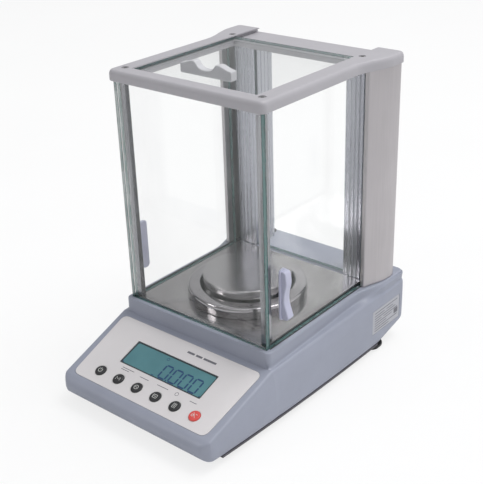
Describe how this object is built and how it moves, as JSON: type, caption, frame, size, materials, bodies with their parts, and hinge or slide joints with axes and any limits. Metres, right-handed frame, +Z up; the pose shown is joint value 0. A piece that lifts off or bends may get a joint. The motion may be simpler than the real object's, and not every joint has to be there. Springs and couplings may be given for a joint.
{
  "type": "analytical balance",
  "caption": "Bench analytical balance: sloping panel with display and keys, stainless chamber floor, ringed pan, and a glass draft shield with sliding side and top doors.",
  "frame": {"origin": "on the bench, under the middle of the outline", "axes": "+Z up, +Y towards the rear, +X towards the user's right; the control panel faces -Y"},
  "size_m": [0.217, 0.321, 0.3369],
  "materials": {
    "housing_paint": "satin blue-grey paint",
    "frame_paint": "satin light grey paint",
    "panel_film": "fine matt film",
    "satin_aluminium": "satin anodised, brushed along its length",
    "brushed_steel": "brushed stainless steel",
    "polished_steel": "polished stainless steel",
    "dark_steel": "dark grey sheet steel",
    "cast_aluminium": "cast",
    "zinc_steel": "zinc plated",
    "copper": "wound enamelled copper",
    "clear_glass": "clear float glass with green edges",
    "grip_plastic": "satin lilac grey",
    "rubber": "matt black",
    "black_plastic": "fine grained black",
    "red_plastic": "fine grained red",
    "circuit_board": "green solder mask",
    "lcd_film": "teal display behind a clear window",
    "label_film": "matt silver film",
    "level_fluid": "clear yellow-green"
  },
  "bodies": {
    "stand": {"control_overlay": "panel_film", "lcd_module": "lcd_film", "display_board": "circuit_board", "upper_housing": "housing_paint", "rating_label": "label_film", "base_plate": "dark_steel", "levelling_pad_left": "rubber", "levelling_pad_right": "rubber", "front_foot_left": "rubber", "front_foot_right": "rubber", "base_screw_front_left": "zinc_steel", "base_screw_front_right": "zinc_steel", "base_screw_rear_left": "zinc_steel", "base_screw_rear_right": "zinc_steel", "chamber_floor": "brushed_steel", "weigh_cell_frame": "cast_aluminium", "fulcrum_block": "zinc_steel", "magnet_pot": "zinc_steel", "position_sensor": "black_plastic", "main_board": "circuit_board", "power_socket": "black_plastic", "serial_port": "zinc_steel", "level_housing": "black_plastic", "level_vial": "level_fluid", "front_glass": "clear_glass", "rear_glass": "clear_glass", "left_front_pillar": "polished_steel", "right_front_pillar": "polished_steel", "left_column": "satin_aluminium", "right_column": "satin_aluminium", "left_column_cover": "satin_aluminium", "right_column_cover": "satin_aluminium", "left_door_track": "black_plastic", "right_door_track": "black_plastic", "top_frame": "frame_paint", "frame_screw_front_left": "zinc_steel", "frame_screw_front_right": "zinc_steel", "frame_screw_rear_left": "zinc_steel", "frame_screw_rear_right": "zinc_steel"},
    "left_door": {"left_door_glass": "clear_glass", "left_door_handle": "grip_plastic"},
    "right_door": {"right_door_glass": "clear_glass", "right_door_handle": "grip_plastic"},
    "top_door": {"top_door_glass": "clear_glass", "top_door_handle": "grip_plastic"},
    "power_button": {"key_power": "black_plastic"},
    "mode_button": {"key_mode": "black_plastic"},
    "unit_button": {"key_unit": "black_plastic"},
    "calibrate_button": {"key_calibrate": "black_plastic"},
    "print_button": {"key_print": "black_plastic"},
    "tare_button": {"key_tare": "red_plastic"},
    "carrier": {"pan_carrier": "cast_aluminium"},
    "pan": {"weighing_pan": "brushed_steel"},
    "ring": {"draft_ring": "polished_steel"},
    "lever": {"lever_beam": "brushed_steel", "coil": "copper"},
    "upper_arm": {"guide_arm_upper": "brushed_steel"},
    "lower_arm": {"guide_arm_lower": "brushed_steel"},
    "left_wheel": {"levelling_wheel_left": "black_plastic"},
    "right_wheel": {"levelling_wheel_right": "black_plastic"}
  },
  "joints": [
    {"name": "left_door_slide", "type": "slide", "parent": "stand", "child": "left_door", "axis": [0, 1, 0], "range_m": [0, 0.12]},
    {"name": "right_door_slide", "type": "slide", "parent": "stand", "child": "right_door", "axis": [0, 1, 0], "range_m": [0, 0.12]},
    {"name": "top_door_slide", "type": "slide", "parent": "stand", "child": "top_door", "axis": [0, 1, 0], "range_m": [0, 0.15]},
    {"name": "power_press", "type": "slide", "parent": "stand", "child": "power_button", "axis": [0, 0.3256, -0.9455], "range_m": [0, 0.0008], "stiffness_N_per_m": 800, "springref_m": -0.0004},
    {"name": "mode_press", "type": "slide", "parent": "stand", "child": "mode_button", "axis": [0, 0.3256, -0.9455], "range_m": [0, 0.0008], "stiffness_N_per_m": 800, "springref_m": -0.0004},
    {"name": "unit_press", "type": "slide", "parent": "stand", "child": "unit_button", "axis": [0, 0.3256, -0.9455], "range_m": [0, 0.0008], "stiffness_N_per_m": 800, "springref_m": -0.0004},
    {"name": "calibrate_press", "type": "slide", "parent": "stand", "child": "calibrate_button", "axis": [0, 0.3256, -0.9455], "range_m": [0, 0.0008], "stiffness_N_per_m": 800, "springref_m": -0.0004},
    {"name": "print_press", "type": "slide", "parent": "stand", "child": "print_button", "axis": [0, 0.3256, -0.9455], "range_m": [0, 0.0008], "stiffness_N_per_m": 800, "springref_m": -0.0004},
    {"name": "tare_press", "type": "slide", "parent": "stand", "child": "tare_button", "axis": [0, 0.3256, -0.9455], "range_m": [0, 0.0008], "stiffness_N_per_m": 800, "springref_m": -0.0004},
    {"name": "carrier_dip", "type": "slide", "parent": "stand", "child": "carrier", "axis": [0, 0, 1], "range_m": [-0.0005, 0], "stiffness_N_per_m": 20000, "springref_m": 0.0002},
    {"name": "pan_lift", "type": "slide", "parent": "carrier", "child": "pan", "axis": [0, 0, 1], "range_m": [0, 0.04]},
    {"name": "ring_lift", "type": "slide", "parent": "stand", "child": "ring", "axis": [0, 0, 1], "range_m": [0, 0.04]},
    {"name": "lever_tilt", "type": "hinge", "parent": "stand", "child": "lever", "pos_m": [0, 0.05951, 0.0495], "axis": [1, 0, 0], "range_deg": [-0.05, 0.85]},
    {"name": "upper_arm_tilt", "type": "hinge", "parent": "stand", "child": "upper_arm", "pos_m": [0, 0.09751, 0.0704], "axis": [1, 0, 0], "range_deg": [-0.05, 0.45]},
    {"name": "lower_arm_tilt", "type": "hinge", "parent": "stand", "child": "lower_arm", "pos_m": [0, 0.09751, 0.0156], "axis": [1, 0, 0], "range_deg": [-0.05, 0.45]},
    {"name": "left_wheel_turn", "type": "hinge", "parent": "stand", "child": "left_wheel", "pos_m": [-0.0945, 0.11651, 0.004], "axis": [0, 0, 1], "range_deg": [-720, 0]},
    {"name": "right_wheel_turn", "type": "hinge", "parent": "stand", "child": "right_wheel", "pos_m": [0.0945, 0.11651, 0.004], "axis": [0, 0, 1], "range_deg": [-720, 0]}
  ],
  "couplings": [
    {"joint": "lever_tilt", "follows": "carrier_dip", "rad_per_m": -26.667},
    {"joint": "upper_arm_tilt", "follows": "carrier_dip", "rad_per_m": -13.245},
    {"joint": "lower_arm_tilt", "follows": "carrier_dip", "rad_per_m": -13.245}
  ]
}
